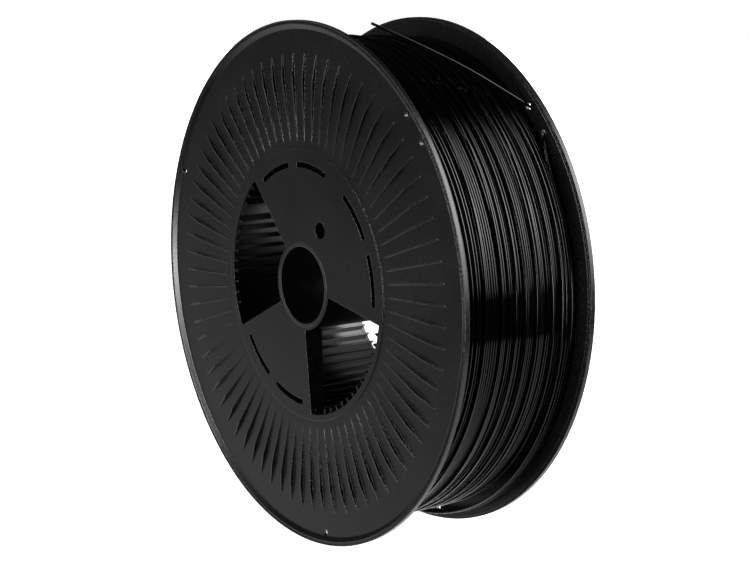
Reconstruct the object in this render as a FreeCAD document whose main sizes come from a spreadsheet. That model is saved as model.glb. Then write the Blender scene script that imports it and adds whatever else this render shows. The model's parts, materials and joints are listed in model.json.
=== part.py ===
import FreeCAD, Part
import math
import os

import Sketcher
from FreeCAD import Placement, Rotation, Vector

# A large plastic spool for 3-D printing filament, standing upright with its filament wound on.
# The spool's axis runs along Y, +Z is up and the origin is the middle of the spool.
# The front flange is the one at -Y. Angles are measured about the axis, from +X towards +Z.
# Lengths are in millimetres and angles in degrees.

DIMENSIONS = {
    # Flange disc. "face" values are distances from the middle plane of the spool.
    "flange_radius": 175.0,
    "inner_face": 46.9,
    "disc_face": 49.3,
    "hub_face": 50.0,
    "rim_face": 51.5,
    "edge_step_radius": 173.5,
    "edge_step_face": 48.4,
    "lip_radius": 174.4,
    "groove_radius": 172.6,
    "groove_face": 50.85,
    "crest_radius": 172.2,
    "rim_foot_radius": 169.3,
    "hub_radius": 91.0,
    # Stiffening fins on the outside of each disc.
    "fin_count": 72,
    "fin_phase": 3.8,
    "fin_thickness": 1.1,
    "fin_inner_radius": 95.5,
    "fin_peak_radius": 138.0,
    "fin_tip_radius": 153.5,
    "fin_peak_face": 51.4,
    "fin_tip_face": 49.7,
    # Openings in the hub plate: five equal sectors, two of them windows.
    "sector_start": 25.8,
    "sector_pitch": 72.0,
    "window_inner_radius": 30.0,
    "window_outer_radius": 87.2,
    "window_inner_half_angle": 39.1,
    "window_outer_half_angle": 37.6,
    "slot_inner_radius": 78.6,
    "slot_outer_radius": 82.4,
    "slot_near_angle": 3.7,
    "slot_far_angle": 27.7,
    "drive_hole_radius": 5.65,
    "drive_hole_circle": 44.5,
    "rim_hole_radius": 2.4,
    "rim_hole_circle": 167.0,
    # Walls behind the hub plate, along the straight edges of its windows.
    "skirt_thickness": 2.0,
    "skirt_hub_depth": 11.0,
    "skirt_drum_depth": 7.5,
    # Bore tube, held between the two hub plates with its ends through them.
    "bore_radius": 26.0,
    "tube_end_radius": 28.3,
    "tube_radius": 29.9,
    "tube_end_face": 50.1,
    # Drum that carries the winding, with ribs along its inside.
    "rib_pitch": 5.0,
    "rib_phase": 1.6,
    "rib_inner_radius": 83.5,
    "rib_thickness": 1.3,
    "rib_end_face": 49.3,
    "rib_end_gap": 0.3,
    # Winding: a round stack of turns on the drum.
    "winding_radius": 160.0,
    "filament_diameter": 1.75,
    # How far two joined shapes reach into each other.
    "overlap": 0.5,
}

FRONT = -1
REAR = 1
# Sectors of the hub plate, counted from 0 at sector_start, that are open windows.
SECTOR_COUNT = 5
WINDOW_SECTORS = {FRONT: (2, 4), REAR: (3, 0)}
# The drive hole lies on the line between two closed sectors, half a pitch past sector 0 or 1.
DRIVE_HOLE_SECTOR = {FRONT: 0.5, REAR: 1.5}
RIM_HOLE_ANGLES = (39.3, 46.8, 158.4, 278.4)
# Runs of the drum's ribs: the number of the first, counted from rib_phase, and how many there are.
RIB_RUNS = ((31, 9), (42, 14), (57, 45))
# A rib less than this many degrees inside a window's edge stops at the disc.
RIB_END_MARGIN = 1.0

# Route of the free end of the filament: off the winding, out through one rim hole of the rear
# flange, back in through the next one, then across the spool to its cut tip.
TAIL_ROUTE = (
    Vector(159.3, 43.4, 26.1),
    Vector(154.8, 43.4, 45.8),
    Vector(147.9, 43.4, 65.9),
    Vector(139.8, 43.4, 83.4),
    Vector(131.9, 43.3, 102.3),
    Vector(125.7, 54.3, 110.4),
    Vector(118.0, 54.3, 117.2),
    Vector(94.5, 15.1, 145.4),
    Vector(77.5, -13.2, 161.4),
    Vector(67.9, -29.2, 169.7),
    Vector(61.7, -38.0, 174.3),
)
# Share of the shorter run that each rounded corner of the route takes up.
CORNER_SHARE = 0.45

doc = FreeCAD.newDocument("filament_spool")
sheet = doc.addObject("Spreadsheet::Sheet", "dimensions")
for row, (alias, value) in enumerate(DIMENSIONS.items(), start=1):
    sheet.set(f"A{row}", alias)
    sheet.set(f"B{row}", str(value))
    sheet.setAlias(f"B{row}", alias)
doc.recompute()


def dim(alias):
    """The expression that reads one cell of the sheet."""
    return f"<<dimensions>>.{alias}"


def size(alias):
    """The number that one cell of the sheet holds."""
    return float(sheet.get(alias))


def new_body(label):
    body = doc.addObject("PartDesign::Body", label)
    body.Label = label
    return body


def origin_feature(body, role):
    """One plane or axis of the body's own origin, such as XY_Plane or Y_Axis."""
    return next(part for part in body.Origin.OriginFeatures if part.Role == role)


def new_sketch(body, name, plane):
    sketch = body.newObject("Sketcher::SketchObject", name)
    sketch.AttachmentSupport = [(origin_feature(body, plane), "")]
    sketch.MapMode = "FlatFace"
    return sketch


def constrain(sketch, expression, kind, *where):
    """Add one dimension to the sketch and bind it to an expression."""
    value = float(sketch.evalExpression(expression))
    index = sketch.addConstraint(Sketcher.Constraint(kind, *where, value))
    sketch.setExpression(f"Constraints[{index}]", expression)


def add_polygon(sketch, corners):
    """Closed outline whose corners are pairs of expressions, each measured from the origin."""
    points = [Vector(*(float(sketch.evalExpression(text)) for text in corner)) for corner in corners]
    first = sketch.GeometryCount
    for start, end in zip(points, points[1:] + points[:1]):
        sketch.addGeometry(Part.LineSegment(start, end))
    for number, (across, up) in enumerate(corners):
        line = first + number
        previous = first + (number - 1) % len(corners)
        sketch.addConstraint(Sketcher.Constraint("Coincident", previous, 2, line, 1))
        constrain(sketch, across, "DistanceX", -1, 1, line, 1)
        constrain(sketch, up, "DistanceY", -1, 1, line, 1)


def add_circle(sketch, across, up, radius):
    """Circle with its centre and radius given as expressions."""
    centre = Vector(float(sketch.evalExpression(across)), float(sketch.evalExpression(up)))
    value = float(sketch.evalExpression(radius))
    circle = sketch.addGeometry(Part.Circle(centre, Vector(0, 0, 1), value))
    constrain(sketch, across, "DistanceX", -1, 1, circle, 3)
    constrain(sketch, up, "DistanceY", -1, 1, circle, 3)
    constrain(sketch, radius, "Radius", circle)


def add_centred_circle(sketch, radius):
    """Circle round the sketch's own origin."""
    value = float(sketch.evalExpression(radius))
    circle = sketch.addGeometry(Part.Circle(Vector(0, 0, 0), Vector(0, 0, 1), value))
    sketch.addConstraint(Sketcher.Constraint("Coincident", circle, 3, -1, 1))
    constrain(sketch, radius, "Radius", circle)


def add_sector(sketch, inner_radius, outer_radius, inner_angles, outer_angles):
    """Piece of a ring: two arcs round the origin joined by two straight ends."""
    arcs = []
    for radius, angles in ((inner_radius, inner_angles), (outer_radius, outer_angles)):
        value = float(sketch.evalExpression(radius))
        start, end = (math.radians(float(sketch.evalExpression(angle))) for angle in angles)
        circle = Part.Circle(Vector(0, 0, 0), Vector(0, 0, 1), value)
        arc = sketch.addGeometry(Part.ArcOfCircle(circle, start, end))
        sketch.addConstraint(Sketcher.Constraint("Coincident", arc, 3, -1, 1))
        constrain(sketch, radius, "Radius", arc)
        for angle, end_point in zip(angles, (1, 2)):
            turn = math.radians(float(sketch.evalExpression(angle)))
            if abs(math.sin(turn)) > abs(math.cos(turn)):
                constrain(sketch, f"{radius} * cos({angle})", "DistanceX", -1, 1, arc, end_point)
            else:
                constrain(sketch, f"{radius} * sin({angle})", "DistanceY", -1, 1, arc, end_point)
        arcs.append(arc)
    inner, outer = arcs
    for end_point in (1, 2):
        line = sketch.addGeometry(
            Part.LineSegment(sketch.getPoint(inner, end_point), sketch.getPoint(outer, end_point))
        )
        sketch.addConstraint(Sketcher.Constraint("Coincident", line, 1, inner, end_point))
        sketch.addConstraint(Sketcher.Constraint("Coincident", line, 2, outer, end_point))


def revolve(body, sketch, kind="PartDesign::Revolution"):
    feature = body.newObject(kind, sketch.Name + "_turned")
    feature.Profile = sketch
    feature.ReferenceAxis = (sketch, ["V_Axis"])
    feature.Angle = 360
    doc.recompute()
    return feature


def pad_both_ways(body, sketch, length):
    feature = body.newObject("PartDesign::Pad", sketch.Name + "_pad")
    feature.Profile = sketch
    feature.SideType = "Symmetric"
    feature.setExpression("Length", length)
    return feature


def pattern_round_axis(body, feature, count, angle):
    pattern = body.newObject("PartDesign::PolarPattern", feature.Name + "_pattern")
    pattern.Originals = [feature]
    pattern.Axis = (origin_feature(body, "Y_Axis"), [""])
    pattern.setExpression("Angle", angle)
    pattern.setExpression("Occurrences", count)
    pattern.Reversed = True
    body.Tip = pattern
    doc.recompute()
    return pattern


def turn_sketch(sketch, angle):
    """Turn a sketch of the XY plane about the spool's axis, towards +Z."""
    value = float(sketch.evalExpression(angle))
    sketch.AttachmentOffset = Placement(Vector(), Rotation(Vector(0, -1, 0), value))
    sketch.setExpression("AttachmentOffset.Rotation.Angle", angle)


def sector_angle(number):
    return f"({dim('sector_start')} + {number} * {dim('sector_pitch')})"


def make_flange(label, side):
    """Moulded end disc: rim, fins, hub plate with its openings, and the skirt walls behind it."""
    body = new_body(label)

    def face(alias):
        return f"{side} * {dim(alias)}"

    section = new_sketch(body, label + "_section", "XY_Plane")
    add_polygon(
        section,
        [
            (dim("tube_end_radius"), face("inner_face")),
            (dim("edge_step_radius"), face("inner_face")),
            (dim("edge_step_radius"), face("edge_step_face")),
            (dim("flange_radius"), face("edge_step_face")),
            (dim("flange_radius"), face("rim_face")),
            (dim("lip_radius"), face("rim_face")),
            (dim("lip_radius"), face("groove_face")),
            (dim("groove_radius"), face("groove_face")),
            (dim("groove_radius"), face("rim_face")),
            (dim("crest_radius"), face("rim_face")),
            (dim("rim_foot_radius"), face("disc_face")),
            (dim("hub_radius"), face("disc_face")),
            (dim("hub_radius"), face("hub_face")),
            (dim("tube_end_radius"), face("hub_face")),
        ],
    )
    revolve(body, section)
    add_skirts(body, label, side)
    add_hub_openings(body, label, side)
    add_fins(body, label, side)
    return body


def add_skirts(body, label, side):
    """Walls along the straight edges of each window, deeper at the hub than at the drum."""
    outline = new_sketch(body, label + "_skirts", "XZ_Plane")
    outline.AttachmentOffset = Placement(Vector(0, 0, -side * size("inner_face")), Rotation())
    outline.setExpression(
        "AttachmentOffset.Base.z",
        f"{-side} * ({dim('inner_face')} + {dim('overlap')})",
    )
    for number in WINDOW_SECTORS[side]:
        for way in (-1, 1):
            inner = f"({sector_angle(number)} + {way} * {dim('window_inner_half_angle')})"
            outer = f"({sector_angle(number)} + {way} * {dim('window_outer_half_angle')})"
            across = f"({sector_angle(number)} + {way} * {dim('sector_pitch')} / 2 + {way} * 90)"
            add_polygon(
                outline,
                [
                    point_on("window_inner_radius", inner),
                    point_on("window_outer_radius", outer),
                    point_on("window_outer_radius", outer, across),
                    point_on("window_inner_radius", inner, across),
                ],
            )
    walls = body.newObject("PartDesign::Pad", label + "_skirt_walls")
    walls.Profile = outline
    walls.Reversed = side == FRONT
    walls.setExpression("Length", f"{dim('skirt_hub_depth')} + {dim('overlap')}")
    doc.recompute()

    taper = new_sketch(body, label + "_skirt_taper", "XY_Plane")
    deepest = f"{side} * ({dim('inner_face')} - {dim('skirt_hub_depth')} - {dim('overlap')})"
    at_hub = f"{side} * ({dim('inner_face')} - {dim('skirt_hub_depth')})"
    at_drum = f"{side} * ({dim('inner_face')} - {dim('skirt_drum_depth')})"
    add_polygon(
        taper,
        [
            (dim("bore_radius"), deepest),
            (dim("hub_radius"), deepest),
            (dim("hub_radius"), at_drum),
            (dim("bore_radius"), at_hub),
        ],
    )
    revolve(body, taper, "PartDesign::Groove")


def point_on(radius, angle, across=None):
    """Point on a circle about the axis, moved a skirt's thickness across if asked."""
    x = f"{dim(radius)} * cos({angle})"
    z = f"{dim(radius)} * sin({angle})"
    if across:
        x += f" + {dim('skirt_thickness')} * cos({across})"
        z += f" + {dim('skirt_thickness')} * sin({across})"
    return x, z


def add_hub_openings(body, label, side):
    """Windows, arc slots, drive hole and rim holes, cut right through the disc."""
    openings = new_sketch(body, label + "_openings", "XZ_Plane")
    for number in range(SECTOR_COUNT):
        centre = sector_angle(number)
        if number in WINDOW_SECTORS[side]:
            inner = dim("window_inner_half_angle")
            outer = dim("window_outer_half_angle")
            add_sector(
                openings,
                dim("window_inner_radius"),
                dim("window_outer_radius"),
                (f"({centre} - {inner})", f"({centre} + {inner})"),
                (f"({centre} - {outer})", f"({centre} + {outer})"),
            )
            continue
        near = dim("slot_near_angle")
        far = dim("slot_far_angle")
        for ends in (
            (f"({centre} + {near})", f"({centre} + {far})"),
            (f"({centre} - {far})", f"({centre} - {near})"),
        ):
            add_sector(openings, dim("slot_inner_radius"), dim("slot_outer_radius"), ends, ends)
    drive_angle = sector_angle(DRIVE_HOLE_SECTOR[side])
    x, z = point_on("drive_hole_circle", drive_angle)
    add_circle(openings, x, z, dim("drive_hole_radius"))
    for angle in RIM_HOLE_ANGLES:
        x, z = point_on("rim_hole_circle", str(angle))
        add_circle(openings, x, z, dim("rim_hole_radius"))
    cut = body.newObject("PartDesign::Pocket", label + "_openings_cut")
    cut.Profile = openings
    cut.SideType = "Symmetric"
    # Measured both ways from the spool's middle plane, to just past the rim.
    cut.setExpression("Length", f"2 * {dim('rim_face')} + {dim('overlap')}")
    doc.recompute()


def add_fins(body, label, side):
    """Thin radial fins that rise towards the rim and fall away again before it."""
    fin = new_sketch(body, label + "_fin", "XY_Plane")
    root = f"{side} * ({dim('disc_face')} - {dim('overlap')})"
    surface = f"{side} * {dim('disc_face')}"
    add_polygon(
        fin,
        [
            (dim("fin_inner_radius"), root),
            (dim("fin_inner_radius"), surface),
            (dim("fin_peak_radius"), f"{side} * {dim('fin_peak_face')}"),
            (dim("fin_tip_radius"), f"{side} * {dim('fin_tip_face')}"),
            (dim("fin_tip_radius"), root),
        ],
    )
    turn_sketch(fin, dim("fin_phase"))
    pad = pad_both_ways(body, fin, dim("fin_thickness"))
    doc.recompute()
    pattern_round_axis(body, pad, dim("fin_count"), "360")


def make_bore_tube():
    """Tube that the spindle runs in, stepped down at its ends to pass through the hub plates."""
    body = new_body("bore_tube")
    section = new_sketch(body, "bore_tube_section", "XY_Plane")
    half = [
        (dim("bore_radius"), "tube_end_face"),
        (dim("tube_end_radius"), "tube_end_face"),
        (dim("tube_end_radius"), "inner_face"),
        (dim("tube_radius"), "inner_face"),
    ]
    upper = [(radius, dim(alias)) for radius, alias in half]
    lower = [(radius, f"-{dim(alias)}") for radius, alias in reversed(half)]
    add_polygon(section, upper + lower)
    revolve(body, section)
    return body


def make_drum():
    """Barrel between the discs, stiffened inside by ribs that show through the windows."""
    body = new_body("winding_drum")
    ring = new_sketch(body, "drum_ring", "XZ_Plane")
    add_centred_circle(ring, dim("hub_radius"))
    add_centred_circle(ring, dim("window_outer_radius"))
    pad_both_ways(body, ring, f"2 * {dim('inner_face')}")
    doc.recompute()
    for first, count in RIB_RUNS:
        add_rib_run(body, f"ribs_{first}", first, count)
    for side, name in ((FRONT, "front"), (REAR, "rear")):
        add_rib_ends(body, name, side)
    return body


def add_rib_run(body, name, first, count):
    """Ribs at equal steps round the inside of the drum, from one disc to the other."""
    rib = new_sketch(body, name, "XY_Plane")
    foot = f"({dim('window_outer_radius')} + {dim('overlap')})"
    add_polygon(
        rib,
        [
            (dim("rib_inner_radius"), f"-{dim('inner_face')}"),
            (foot, f"-{dim('inner_face')}"),
            (foot, dim("inner_face")),
            (dim("rib_inner_radius"), dim("inner_face")),
        ],
    )
    turn_sketch(rib, f"{dim('rib_phase')} + {first} * {dim('rib_pitch')}")
    pad = pad_both_ways(body, rib, dim("rib_thickness"))
    doc.recompute()
    pattern_round_axis(body, pad, str(count), f"{count - 1} * {dim('rib_pitch')}")


def add_rib_ends(body, name, side):
    """The ribs that stand in a window reach on, nearly to the outside of the disc."""
    ribs = [number for first, count in RIB_RUNS for number in range(first, first + count)]
    reach = size("window_outer_half_angle") - RIB_END_MARGIN
    sketch = new_sketch(body, name + "_rib_ends", "XZ_Plane")
    sketch.AttachmentOffset = Placement(Vector(0, 0, -side * size("inner_face")), Rotation())
    sketch.setExpression(
        "AttachmentOffset.Base.z",
        f"{-side} * ({dim('inner_face')} - {dim('overlap')})",
    )
    for number in ribs:
        turn = size("rib_phase") + number * size("rib_pitch")
        for sector in WINDOW_SECTORS[side]:
            centre = size("sector_start") + sector * size("sector_pitch")
            if abs(math.remainder(turn - centre, 360)) < reach:
                add_rib_end_outline(sketch, number)
    pad = body.newObject("PartDesign::Pad", name + "_rib_ends_pad")
    pad.Profile = sketch
    pad.Reversed = side == REAR
    pad.setExpression("Length", f"{dim('rib_end_face')} - {dim('inner_face')} + {dim('overlap')}")
    doc.recompute()


def add_rib_end_outline(sketch, number):
    """Four-sided outline of one rib, seen along the spool's axis."""
    angle = f"({dim('rib_phase')} + {number} * {dim('rib_pitch')})"
    outer = f"({dim('window_outer_radius')} - {dim('rib_end_gap')})"
    half = f"{dim('rib_thickness')} / 2"
    corners = []
    for radius, way in (
        (dim("rib_inner_radius"), -1),
        (outer, -1),
        (outer, 1),
        (dim("rib_inner_radius"), 1),
    ):
        x = f"{radius} * cos({angle}) - {way} * {half} * sin({angle})"
        z = f"{radius} * sin({angle}) + {way} * {half} * cos({angle})"
        corners.append((x, z))
    add_polygon(sketch, corners)


def make_winding():
    """The wound filament as one closed ring round the drum, between the two discs."""
    body = new_body("filament_winding")
    ring = new_sketch(body, "winding_ring", "XZ_Plane")
    add_centred_circle(ring, dim("winding_radius"))
    add_centred_circle(ring, dim("hub_radius"))
    pad_both_ways(body, ring, f"2 * {dim('inner_face')}")
    doc.recompute()
    return body


def rounded_route(points):
    """Straight runs joined by tangent arcs, each as large as its two runs allow."""
    edges = []
    radii = []
    start = points[0]
    for before, corner, after in zip(points, points[1:], points[2:]):
        back = before - corner
        ahead = after - corner
        turn = math.pi - back.getAngle(ahead)
        reach = CORNER_SHARE * min(back.Length, ahead.Length)
        radius = reach / math.tan(turn / 2)
        back.normalize()
        ahead.normalize()
        entry = corner + back * reach
        leave = corner + ahead * reach
        inward = back + ahead
        inward.normalize()
        middle = corner + inward * (radius / math.cos(turn / 2) - radius)
        edges.append(Part.LineSegment(start, entry).toShape())
        edges.append(Part.Arc(entry, middle, leave).toShape())
        radii.append(radius)
        start = leave
    edges.append(Part.LineSegment(start, points[-1]).toShape())
    return Part.Wire(edges), radii


def make_tail():
    """The free end of the filament, a tube along its route."""
    path, radii = rounded_route(TAIL_ROUTE)
    radius = size("filament_diameter") / 2
    heading = TAIL_ROUTE[1] - TAIL_ROUTE[0]
    ring = Part.Wire(Part.Circle(TAIL_ROUTE[0], heading, radius).toShape())
    tube = path.makePipeShell([ring], True, False)
    tail = doc.addObject("Part::Feature", "filament_tail")
    tail.Shape = tube
    tail.Placement = Placement()
    print("tail bend radii:", [round(value, 1) for value in radii])
    print("tail length:", round(path.Length, 1))
    print("tail volume against section times length:", tube.Volume / (math.pi * radius**2 * path.Length))
    return tail


pieces = [
    make_flange("front_flange", FRONT),
    make_flange("rear_flange", REAR),
    make_bore_tube(),
    make_drum(),
    make_winding(),
    make_tail(),
]
doc.recompute()

for item in doc.Objects:
    failed = {"Invalid", "Error"} & set(item.State)
    if failed:
        raise RuntimeError(f"{item.Name} is {item.State}")
for piece in pieces:
    if piece.Shape.isNull() or not piece.Shape.isValid():
        raise RuntimeError(f"{piece.Label} has no valid shape")
    print(piece.Label, "solids", len(piece.Shape.Solids), "volume", round(piece.Shape.Volume))

os.makedirs("parts", exist_ok=True)
for piece in pieces:
    piece.Shape.exportStep(f"parts/{piece.Label}.step")
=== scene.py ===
import json
import math
import random

import bpy
from mathutils import Matrix, Vector

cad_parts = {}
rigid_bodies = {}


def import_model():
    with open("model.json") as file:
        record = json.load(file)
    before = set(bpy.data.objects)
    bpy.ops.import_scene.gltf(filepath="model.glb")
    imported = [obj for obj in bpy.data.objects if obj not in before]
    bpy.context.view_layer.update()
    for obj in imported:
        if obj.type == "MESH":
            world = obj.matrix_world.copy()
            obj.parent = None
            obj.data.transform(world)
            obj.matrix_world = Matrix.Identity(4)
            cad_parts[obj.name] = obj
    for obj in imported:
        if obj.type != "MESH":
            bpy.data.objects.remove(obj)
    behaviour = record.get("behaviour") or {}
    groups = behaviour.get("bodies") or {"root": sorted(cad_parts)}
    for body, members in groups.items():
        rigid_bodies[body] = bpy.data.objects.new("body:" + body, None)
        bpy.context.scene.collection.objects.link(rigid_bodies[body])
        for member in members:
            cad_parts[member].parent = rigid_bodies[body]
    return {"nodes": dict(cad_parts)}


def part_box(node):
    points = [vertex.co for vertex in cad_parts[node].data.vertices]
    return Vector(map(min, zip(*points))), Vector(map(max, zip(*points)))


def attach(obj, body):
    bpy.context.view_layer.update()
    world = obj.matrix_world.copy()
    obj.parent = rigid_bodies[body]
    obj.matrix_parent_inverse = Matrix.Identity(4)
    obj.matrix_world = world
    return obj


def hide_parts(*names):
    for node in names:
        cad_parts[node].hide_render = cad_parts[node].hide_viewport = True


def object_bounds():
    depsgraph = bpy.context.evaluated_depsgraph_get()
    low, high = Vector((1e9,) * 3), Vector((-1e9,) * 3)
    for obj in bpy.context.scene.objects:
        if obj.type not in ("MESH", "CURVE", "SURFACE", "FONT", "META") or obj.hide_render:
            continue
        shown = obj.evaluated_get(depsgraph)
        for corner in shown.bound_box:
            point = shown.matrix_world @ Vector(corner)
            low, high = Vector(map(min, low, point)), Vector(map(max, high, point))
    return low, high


# A large filament spool standing upright: its axis runs along Y, +Z is up, the origin is its centre.
# Lengths are in metres. Angles about the axis are measured from +X towards +Z.

for leftover in list(bpy.data.objects):
    bpy.data.objects.remove(leftover)

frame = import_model()
cad_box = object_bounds()

MM = 0.001
BODY = "root"

# Camera, worked out from the spool's own rims.
CAMERA_AZIMUTH = math.radians(54.1)
CAMERA_ELEVATION = math.radians(10.33)
CAMERA_DISTANCE = 1.1997
CAMERA_ASIDE = 0.00777
CAMERA_LOWER = 0.00277
LENS = 84.37
SENSOR = 36.0

# The winding: tidy turns, and loose ones that hang below it or lie across its top.
SEED = 7
WINDING_RADIUS = 160.6 * MM
HANGING = 8.6 * MM
HANGING_SHARE = (0.75, 1.0)
LYING = 2.4 * MM
LYING_SHARE = (0.3, 1.0)
FILAMENT_RADIUS = 0.875 * MM
STEPS_PER_TURN = 120
# Turns beside the front flange lie deeper, the more so the closer they are.
EDGE_WIDTH = 16.0 * MM
EDGE_SINK = 4.0 * MM
# How far a turn's centre stays from the flange beside it.
FLANGE_CLEARANCE = 1.1 * FILAMENT_RADIUS
# Visible layers, the deepest first. The strand works its way to the rear flange, back, and again.
LAYERS = (
    # turns, depth of their centres, share of loose gaps, swing across, angle where the first starts
    (52, 4.1 * FILAMENT_RADIUS, 0.05, 0.1 * MM, 0.3),
    (50, 2.6 * FILAMENT_RADIUS, 0.2, 0.2 * MM, 1.9),
    (44, 1.0 * FILAMENT_RADIUS, 0.35, 0.3 * MM, 0.15),
)
# Gap beside a turn, as a share of the space it takes: where it is loose, and where it is packed.
LOOSE_GAP = (0.3, 1.4)
PACKED_GAP = (0.0, 0.06)
# Most that one turn of a layer sinks below its neighbours.
TURN_SINK = 0.45 * MM
# Loose turns: their places along the axis, and the angles where they stand away most.
CROSSING_PLACES = (-24.0 * MM, -11.0 * MM, -3.0 * MM, 6.0 * MM, 14.0 * MM, 23.0 * MM, 30.0 * MM)
CROSSING_REACH = (1.5 * MM, 5.0 * MM)
CROSSING_LIFT_ANGLE = 1.8
HANGING_PLACES = (36.5 * MM, 40.0 * MM, 42.0 * MM, 44.5 * MM)
HANGING_DRIFT = (0.5 * MM, 1.5 * MM)
HANGING_DRIFT_ANGLE = -1.2
BOTTOM = -0.5 * math.pi
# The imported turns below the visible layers.
CORE_DEPTH = 5.0 * FILAMENT_RADIUS
CORE_STEPS = 240

# Depth of the plastics' grain, and the cosine of the turn where an edge starts to be painted paler
# and where it is palest: partly wear, partly a painted highlight along crests and rims.
GRAIN_DEPTH = 0.02 * MM
EDGE_START = 0.995
EDGE_FULL = 0.9

FLOOR_HALF_WIDTH = 6.0

# Lights in the sky round the spool. Each soft edge is a direction, and how far along it a ray has to
# point for the light to be gone and to be full.
BACKDROP_STRENGTH = 9.0
BACKDROP_EDGES = (
    # behind the spool, above the horizon and to the right
    ((0.0, 1.0, 0.0), 0.2, 0.45),
    ((0.0, 0.25, 1.0), 0.1, 0.14),
    ((1.0, 0.0, 0.3), 0.4, 0.65),
)
# Share of the backdrop's strength at the horizon, and the height where it is full.
BACKDROP_FOOT = 0.25
BACKDROP_FULL_HEIGHT = 0.4
TABLE_STRENGTH = 1.3
TABLE_EDGES = (
    # its front edge below the horizon, then its near and far sides
    ((-0.14, 0.0, -1.0), 0.24, 0.27),
    ((0.0, 1.0, 0.0), 0.25, 0.45),
    ((0.0, 1.0, 0.0), 0.88, 0.68),
)
STRIP_STRENGTH = 24.0
STRIP_EDGES = (
    # lower and upper sides, left and right ends, and everything that isn't in front
    ((1.0, 0.0, 1.0), -0.22, -0.1),
    ((1.0, 0.0, 1.0), 0.28, 0.18),
    ((1.0, 0.0, -1.0), -0.75, -0.55),
    ((1.0, 0.0, -1.0), 0.5, 0.38),
    ((0.0, -1.0, 0.0), 0.4, 0.6),
)
LOW_LIGHT_STRENGTH = 0.7
LOW_LIGHT_DIRECTION = (-0.73, -0.12, -0.60)
# Angles from its direction within which the low light is full, and beyond which it is gone.
LOW_LIGHT_FULL = 15.0
LOW_LIGHT_GONE = 42.0
SHADE_STRENGTH = 0.02

# Route of the loose end, the same points as the CAD tube's, and one more on its long straight run.
TAIL_ROUTE = (
    (0.1593, 0.0434, 0.0261),
    (0.1548, 0.0434, 0.0458),
    (0.1479, 0.0434, 0.0659),
    (0.1398, 0.0434, 0.0834),
    (0.1319, 0.0433, 0.1023),
    (0.1257, 0.0543, 0.1104),
    (0.1180, 0.0543, 0.1172),
    (0.1135, 0.0468, 0.1226),
    (0.0945, 0.0151, 0.1454),
    (0.0775, -0.0132, 0.1614),
    (0.0679, -0.0292, 0.1697),
    (0.0617, -0.0380, 0.1743),
)


def camera_axes():
    """The camera's right, up and back directions in the spool's frame."""
    back = Vector(
        (
            math.sin(CAMERA_AZIMUTH) * math.cos(CAMERA_ELEVATION),
            -math.cos(CAMERA_AZIMUTH) * math.cos(CAMERA_ELEVATION),
            math.sin(CAMERA_ELEVATION),
        )
    )
    right = Vector((math.cos(CAMERA_AZIMUTH), math.sin(CAMERA_AZIMUTH), 0.0))
    return right, back.cross(right), back


def make_camera():
    right, up, back = camera_axes()
    data = bpy.data.cameras.new("camera")
    data.lens = LENS
    data.sensor_width = SENSOR
    data.dof.use_dof = False
    camera = bpy.data.objects.new("camera", data)
    bpy.context.scene.collection.objects.link(camera)
    place = back * CAMERA_DISTANCE + right * CAMERA_ASIDE - up * CAMERA_LOWER
    turn = Matrix((right, up, back)).transposed().to_4x4()
    camera.matrix_world = Matrix.Translation(place) @ turn
    bpy.context.scene.camera = camera


# ---------------------------------------------------------------- node helpers


def math_node(tree, operation, first, second=None, clamp=False):
    node = tree.nodes.new("ShaderNodeMath")
    node.operation = operation
    node.use_clamp = clamp
    for socket, value in zip(node.inputs, (first, second)):
        if value is None:
            continue
        if isinstance(value, (int, float)):
            socket.default_value = value
        else:
            tree.links.new(value, socket)
    return node.outputs[0]


def map_range(tree, value, low, high, out_low, out_high, smooth=False):
    node = tree.nodes.new("ShaderNodeMapRange")
    node.interpolation_type = "SMOOTHSTEP" if smooth else "LINEAR"
    tree.links.new(value, node.inputs["Value"])
    node.inputs["From Min"].default_value = low
    node.inputs["From Max"].default_value = high
    node.inputs["To Min"].default_value = out_low
    node.inputs["To Max"].default_value = out_high
    return node.outputs["Result"]


def noise(tree, scale, detail):
    """Noise in the object's own coordinates, so that it stays on the surface."""
    coordinates = tree.nodes.new("ShaderNodeTexCoord").outputs["Object"]
    node = tree.nodes.new("ShaderNodeTexNoise")
    node.inputs["Scale"].default_value = scale
    node.inputs["Detail"].default_value = detail
    tree.links.new(coordinates, node.inputs["Vector"])
    return node.outputs["Fac"]


def mix_colour(tree, factor, first, second):
    node = tree.nodes.new("ShaderNodeMix")
    node.data_type = "RGBA"
    tree.links.new(factor, node.inputs["Factor"])
    for name, value in (("A", first), ("B", second)):
        socket = next(s for s in node.inputs if s.name == name and s.type == "RGBA")
        if isinstance(value, tuple):
            socket.default_value = (*value, 1.0)
        else:
            tree.links.new(value, socket)
    return next(s for s in node.outputs if s.type == "RGBA")


def edge_mask(tree, bevel_normal):
    """1 along sharp edges and 0 on open faces, from how far the rounded normal turns."""
    geometry = tree.nodes.new("ShaderNodeNewGeometry")
    dot = tree.nodes.new("ShaderNodeVectorMath")
    dot.operation = "DOT_PRODUCT"
    tree.links.new(bevel_normal, dot.inputs[0])
    tree.links.new(geometry.outputs["Normal"], dot.inputs[1])
    return map_range(tree, dot.outputs["Value"], EDGE_START, EDGE_FULL, 0.0, 1.0)


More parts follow.
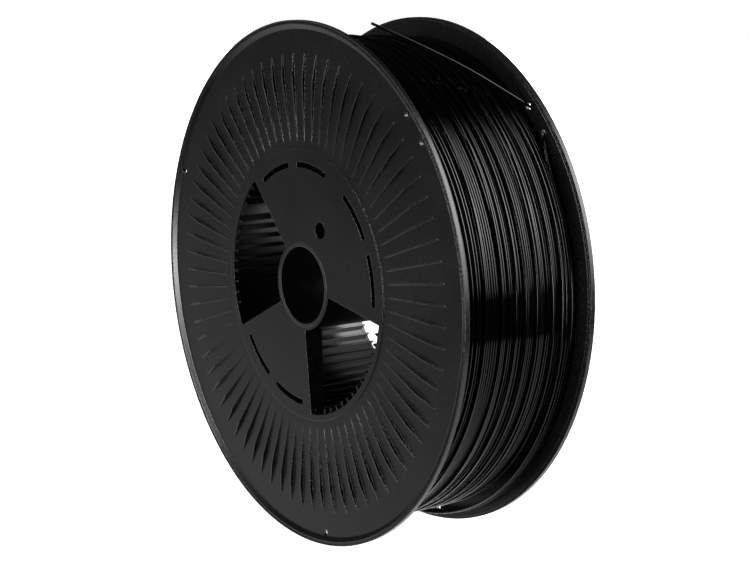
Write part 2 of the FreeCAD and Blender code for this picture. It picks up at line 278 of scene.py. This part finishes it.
def moulded_plastic(name, base, edge_wear_and_highlight, roughness, bevel, grain):
    """Black moulded plastic: fine grain, cloudy gloss, and edges painted paler in patches, partly as wear
    and partly as a painted highlight that makes fin crests and rims glint.
    """
    material = bpy.data.materials.new(name)
    material.use_nodes = True
    tree = material.node_tree
    shader = tree.nodes["Principled BSDF"]
    shader.inputs["IOR"].default_value = 1.48

    rounding = tree.nodes.new("ShaderNodeBevel")
    rounding.samples = 12
    rounding.inputs["Radius"].default_value = bevel
    edges = edge_mask(tree, rounding.outputs["Normal"])

    clouds = noise(tree, scale=22.0, detail=4.0)
    speckle = noise(tree, scale=900.0, detail=2.0)
    wear_and_highlight_patches = noise(tree, scale=30.0, detail=2.0)
    paler = tuple(1.25 * channel for channel in base)
    colour = mix_colour(tree, map_range(tree, clouds, 0.35, 0.65, 0.0, 1.0), base, paler)
    # Painted highlight: the edges get a paler colour in patches, partly wear and partly a painted glint
    # on crests and rims.
    wear_and_highlight_mask = math_node(tree, "MULTIPLY", edges, map_range(tree, wear_and_highlight_patches, 0.35, 0.65, 0.6, 0.9))
    tree.links.new(mix_colour(tree, wear_and_highlight_mask, colour, edge_wear_and_highlight), shader.inputs["Base Color"])

    cloudy = map_range(tree, clouds, 0.3, 0.7, roughness - 0.02, roughness + 0.02)
    gritty = map_range(tree, speckle, 0.3, 0.7, -0.03, 0.03)
    tree.links.new(math_node(tree, "ADD", cloudy, gritty, clamp=True), shader.inputs["Roughness"])

    bump = tree.nodes.new("ShaderNodeBump")
    bump.inputs["Strength"].default_value = grain
    bump.inputs["Distance"].default_value = GRAIN_DEPTH
    tree.links.new(noise(tree, scale=2600.0, detail=3.0), bump.inputs["Height"])
    tree.links.new(rounding.outputs["Normal"], bump.inputs["Normal"])
    tree.links.new(bump.outputs["Normal"], shader.inputs["Normal"])
    return material


def extruded_plastic(name, base, roughness):
    """Glossy black filament, with a faintly uneven surface, dusty patches and slow changes of gloss."""
    material = bpy.data.materials.new(name)
    material.use_nodes = True
    tree = material.node_tree
    shader = tree.nodes["Principled BSDF"]
    shader.inputs["IOR"].default_value = 1.55
    dusty = tuple(1.8 * channel for channel in base)
    patches = map_range(tree, noise(tree, scale=60.0, detail=3.0), 0.4, 0.7, 0.0, 1.0)
    tree.links.new(mix_colour(tree, patches, base, dusty), shader.inputs["Base Color"])
    gloss = noise(tree, scale=400.0, detail=3.0)
    cloudy = map_range(tree, gloss, 0.3, 0.7, roughness - 0.03, roughness + 0.03)
    tree.links.new(cloudy, shader.inputs["Roughness"])
    bump = tree.nodes.new("ShaderNodeBump")
    bump.inputs["Strength"].default_value = 0.06
    bump.inputs["Distance"].default_value = GRAIN_DEPTH
    tree.links.new(noise(tree, scale=1500.0, detail=2.0), bump.inputs["Height"])
    tree.links.new(bump.outputs["Normal"], shader.inputs["Normal"])
    return material


# ---------------------------------------------------------------- stage


def make_floor():
    """A plain pale floor under the rims. Reflections see the sky's pale table instead of it."""
    low = cad_box[0][2]
    half = FLOOR_HALF_WIDTH
    mesh = bpy.data.meshes.new("floor")
    corners = [(-half, -half, low), (half, -half, low), (half, half, low), (-half, half, low)]
    mesh.from_pydata(corners, [], [(0, 1, 2, 3)])
    floor = bpy.data.objects.new("floor", mesh)
    bpy.context.scene.collection.objects.link(floor)
    material = bpy.data.materials.new("pale_floor")
    material.use_nodes = True
    shader = material.node_tree.nodes["Principled BSDF"]
    shader.inputs["Base Color"].default_value = (0.9, 0.9, 0.9, 1.0)
    shader.inputs["Roughness"].default_value = 0.9
    shader.inputs["Specular IOR Level"].default_value = 0.0
    shader.inputs["Emission Color"].default_value = (1.0, 1.0, 1.0, 1.0)
    shader.inputs["Emission Strength"].default_value = 1.05
    mesh.materials.append(material)
    floor.visible_glossy = False
    floor.visible_diffuse = False
    floor.visible_shadow = False


def along(tree, direction):
    """How far a ray of the world points along a direction, from -1 to 1 for a unit one."""
    view = tree.nodes.new("ShaderNodeTexCoord").outputs["Generated"]
    dot = tree.nodes.new("ShaderNodeVectorMath")
    dot.operation = "DOT_PRODUCT"
    tree.links.new(view, dot.inputs[0])
    dot.inputs[1].default_value = direction
    return dot.outputs["Value"]


def patch_light(tree, edges, strength):
    """A flat light with soft edges, in the part of the sky that lies inside all of them."""
    level = strength
    for direction, gone, full in edges:
        mask = map_range(tree, along(tree, direction), gone, full, 0.0, 1.0, smooth=True)
        level = math_node(tree, "MULTIPLY", mask, level)
    return level


def backdrop(tree):
    """The bright backdrop behind the spool and to its right, dimmer near the horizon."""
    height = along(tree, (0.0, 0.0, 1.0))
    brighter_up = map_range(tree, height, 0.0, BACKDROP_FULL_HEIGHT, BACKDROP_FOOT, 1.0)
    return math_node(tree, "MULTIPLY", patch_light(tree, BACKDROP_EDGES, BACKDROP_STRENGTH), brighter_up)


def low_light(tree):
    """A weak round light from low on the left, which lights the discs' lower parts more."""
    gone = math.cos(math.radians(LOW_LIGHT_GONE))
    full = math.cos(math.radians(LOW_LIGHT_FULL))
    towards = along(tree, Vector(LOW_LIGHT_DIRECTION).normalized())
    return map_range(tree, towards, gone, full, 0.0, LOW_LIGHT_STRENGTH, smooth=True)


def make_world():
    """The studio: lights that the spool sees, and plain white where the camera looks past it."""
    world = bpy.data.worlds.new("studio")
    bpy.context.scene.world = world
    world.use_nodes = True
    tree = world.node_tree
    lit = tree.nodes["Background"]
    lit.inputs["Color"].default_value = (1.0, 1.0, 1.0, 1.0)
    level = SHADE_STRENGTH
    lights = (
        backdrop(tree),
        patch_light(tree, TABLE_EDGES, TABLE_STRENGTH),
        patch_light(tree, STRIP_EDGES, STRIP_STRENGTH),
        low_light(tree),
    )
    for light in lights:
        level = math_node(tree, "ADD", light, level)
    tree.links.new(level, lit.inputs["Strength"])
    seen = tree.nodes.new("ShaderNodeBackground")
    seen.inputs["Color"].default_value = (1.0, 1.0, 1.0, 1.0)
    rays = tree.nodes.new("ShaderNodeLightPath")
    mix = tree.nodes.new("ShaderNodeMixShader")
    tree.links.new(rays.outputs["Is Camera Ray"], mix.inputs["Fac"])
    tree.links.new(lit.outputs["Background"], mix.inputs[1])
    tree.links.new(seen.outputs["Background"], mix.inputs[2])
    tree.links.new(mix.outputs["Shader"], tree.nodes["World Output"].inputs["Surface"])


# ---------------------------------------------------------------- winding


def bump(angle, middle, sharpness):
    """1 at one angle about the axis, falling smoothly to 0 on the far side."""
    return (0.5 + 0.5 * math.cos(angle - middle)) ** sharpness


def around(angle, radius, place):
    return Vector((radius * math.cos(angle), place, radius * math.sin(angle)))


def spread_turns(draw, count, start, end, loose):
    """Places of the turns from one side to the other, close together with a gap here and there."""
    gaps = []
    for _ in range(count):
        spare = draw.uniform(*LOOSE_GAP) if draw.random() < loose else draw.uniform(*PACKED_GAP)
        gaps.append(1.0 + spare)
    total = sum(gaps)
    places = [start]
    for gap in gaps:
        places.append(places[-1] + (end - start) * gap / total)
    return places


def smooth_values(draw, count, low, high):
    """One value per turn, drifting slowly."""
    values = [draw.uniform(low, high) for _ in range(count + 3)]
    neighbours = zip(values, values[1:], values[2:])
    return [0.25 * before + 0.5 * here + 0.25 * after for before, here, after in neighbours]


def wound_layer(draw, count, start, end, depth, loose, swing, first_angle):
    """Points of one layer of turns, as a single strand that works its way across."""
    places = spread_turns(draw, count, start, end, loose)
    sinks = smooth_values(draw, count, 0.0, TURN_SINK)
    phases = smooth_values(draw, count, 0.0, 2.0 * math.pi)
    points = []
    for step in range(count * STEPS_PER_TURN + 1):
        turn = step / STEPS_PER_TURN
        index = min(int(turn), count - 1)
        part = turn - index
        angle = first_angle + 2.0 * math.pi * turn
        place = places[index] + (places[index + 1] - places[index]) * part
        phase = phases[index] + (phases[index + 1] - phases[index]) * part
        place += swing * math.sin(2.0 * angle + phase)
        sink = sinks[index] + (sinks[index + 1] - sinks[index]) * part
        beside_flange = max(0.0, 1.0 - (place - min(start, end)) / EDGE_WIDTH)
        radius = WINDING_RADIUS - depth - sink - EDGE_SINK * beside_flange
        points.append(around(angle, radius, place))
    return points


def hanging_turn(draw, place):
    """A slack turn near the rear flange, which hangs away from the winding at the bottom."""
    drop = HANGING * draw.uniform(*HANGING_SHARE)
    drift = draw.uniform(*HANGING_DRIFT)
    points = []
    for step in range(STEPS_PER_TURN):
        angle = 2.0 * math.pi * step / STEPS_PER_TURN
        radius = WINDING_RADIUS + FILAMENT_RADIUS + drop * bump(angle, BOTTOM, sharpness=2.5)
        aside = drift * bump(angle, HANGING_DRIFT_ANGLE, sharpness=2.0)
        points.append(around(angle, radius, place - aside))
    return points


def crossing_turn(draw, place, reach):
    """A turn that lies over the others, crosses them at a slant and is raised a little at the top."""
    phase = draw.uniform(0.0, 2.0 * math.pi)
    lift = LYING * draw.uniform(*LYING_SHARE)
    points = []
    for step in range(STEPS_PER_TURN):
        angle = 2.0 * math.pi * step / STEPS_PER_TURN
        radius = WINDING_RADIUS + FILAMENT_RADIUS + lift * bump(angle, CROSSING_LIFT_ANGLE, sharpness=3.0)
        points.append(around(angle, radius, place + reach * math.sin(angle + phase)))
    return points


def add_strand(curve, points, closed=False):
    spline = curve.splines.new("POLY")
    spline.points.add(len(points) - 1)
    for target, point in zip(spline.points, points):
        target.co = (*point, 1.0)
    spline.use_cyclic_u = closed
    spline.use_smooth = True


def make_winding(material):
    """Every strand that can be seen, as round wire wound on the spool."""
    low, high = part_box("filament_winding")
    near = low.y + FLANGE_CLEARANCE
    far = high.y - FLANGE_CLEARANCE
    draw = random.Random(SEED)
    curve = bpy.data.curves.new("filament_winding_strands", "CURVE")
    curve.dimensions = "3D"
    curve.bevel_depth = FILAMENT_RADIUS
    curve.bevel_resolution = 2
    curve.use_fill_caps = True
    start, end = near, far
    for turns, depth, loose, swing, first_angle in LAYERS:
        add_strand(curve, wound_layer(draw, turns, start, end, depth, loose, swing, first_angle))
        start, end = end, start
    for place in CROSSING_PLACES:
        reach = draw.uniform(*CROSSING_REACH)
        add_strand(curve, crossing_turn(draw, place, reach), closed=True)
    for place in HANGING_PLACES:
        add_strand(curve, hanging_turn(draw, place), closed=True)
    curve.materials.append(material)
    winding = bpy.data.objects.new("filament_winding_strands", curve)
    bpy.context.scene.collection.objects.link(winding)
    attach(winding, BODY)
    return winding


def make_winding_core(material):
    """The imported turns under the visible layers, as one closed ring below them."""
    low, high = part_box("filament_winding")
    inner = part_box("winding_drum")[1].x
    outer = WINDING_RADIUS - CORE_DEPTH
    section = (
        (inner, low.y),
        (outer - EDGE_SINK, low.y),
        (outer, low.y + EDGE_WIDTH),
        (outer, high.y),
        (inner, high.y),
    )
    rings = []
    for number in range(CORE_STEPS):
        angle = 2.0 * math.pi * number / CORE_STEPS
        rings.append([around(angle, radius, place) for radius, place in section])
    sides = len(rings[0])
    vertices = [corner for ring in rings for corner in ring]
    faces = []
    for number in range(CORE_STEPS):
        here = sides * number
        there = sides * ((number + 1) % CORE_STEPS)
        for side in range(sides):
            across = (side + 1) % sides
            faces.append((here + side, there + side, there + across, here + across))
    mesh = bpy.data.meshes.new("filament_winding_core")
    mesh.from_pydata(vertices, [], faces)
    mesh.materials.append(material)
    core = bpy.data.objects.new("filament_winding_core", mesh)
    bpy.context.scene.collection.objects.link(core)
    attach(core, BODY)
    return core


def make_tail(material):
    """The loose end, threaded out and back through two holes of the rear flange."""
    curve = bpy.data.curves.new("filament_tail_strand", "CURVE")
    curve.dimensions = "3D"
    curve.bevel_depth = FILAMENT_RADIUS
    curve.bevel_resolution = 4
    curve.resolution_u = 12
    curve.use_fill_caps = True
    spline = curve.splines.new("NURBS")
    spline.points.add(len(TAIL_ROUTE) - 1)
    for target, point in zip(spline.points, TAIL_ROUTE):
        target.co = (*point, 1.0)
    spline.order_u = 3
    spline.use_endpoint_u = True
    curve.materials.append(material)
    tail = bpy.data.objects.new("filament_tail_strand", curve)
    bpy.context.scene.collection.objects.link(tail)
    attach(tail, BODY)
    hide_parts("filament_tail")


def paint(node, material):
    """Give a CAD node its material, through its own slots."""
    for slot in frame["nodes"][node].material_slots:
        slot.material = material


make_camera()
filament = extruded_plastic("black_filament", base=(0.0004, 0.0004, 0.00045), roughness=0.08)
make_tail(filament)
make_world()
make_floor()

# The edge colours below paint the edges paler: partly wear, partly a painted highlight on crests and
# rims.
disc_plastic = moulded_plastic(
    "disc_plastic",
    base=(0.0036, 0.0036, 0.0038),
    edge_wear_and_highlight=(0.045, 0.045, 0.0465),
    roughness=0.26,
    bevel=0.5 * MM,
    grain=0.4,
)
drum_plastic = moulded_plastic(
    "drum_plastic",
    base=(0.0025, 0.0025, 0.0026),
    edge_wear_and_highlight=(0.012, 0.012, 0.0125),
    roughness=0.2,
    bevel=0.15 * MM,
    grain=0.4,
)
tube_plastic = moulded_plastic(
    "tube_plastic",
    base=(0.007, 0.007, 0.0072),
    edge_wear_and_highlight=(0.05, 0.05, 0.052),
    roughness=0.3,
    bevel=0.7 * MM,
    grain=0.3,
)
paint("front_flange", disc_plastic)
paint("rear_flange", disc_plastic)
paint("winding_drum", drum_plastic)
paint("bore_tube", tube_plastic)

winding = make_winding(filament)
make_winding_core(filament)
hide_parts("filament_winding")

bpy.context.scene.view_settings.view_transform = "Standard"
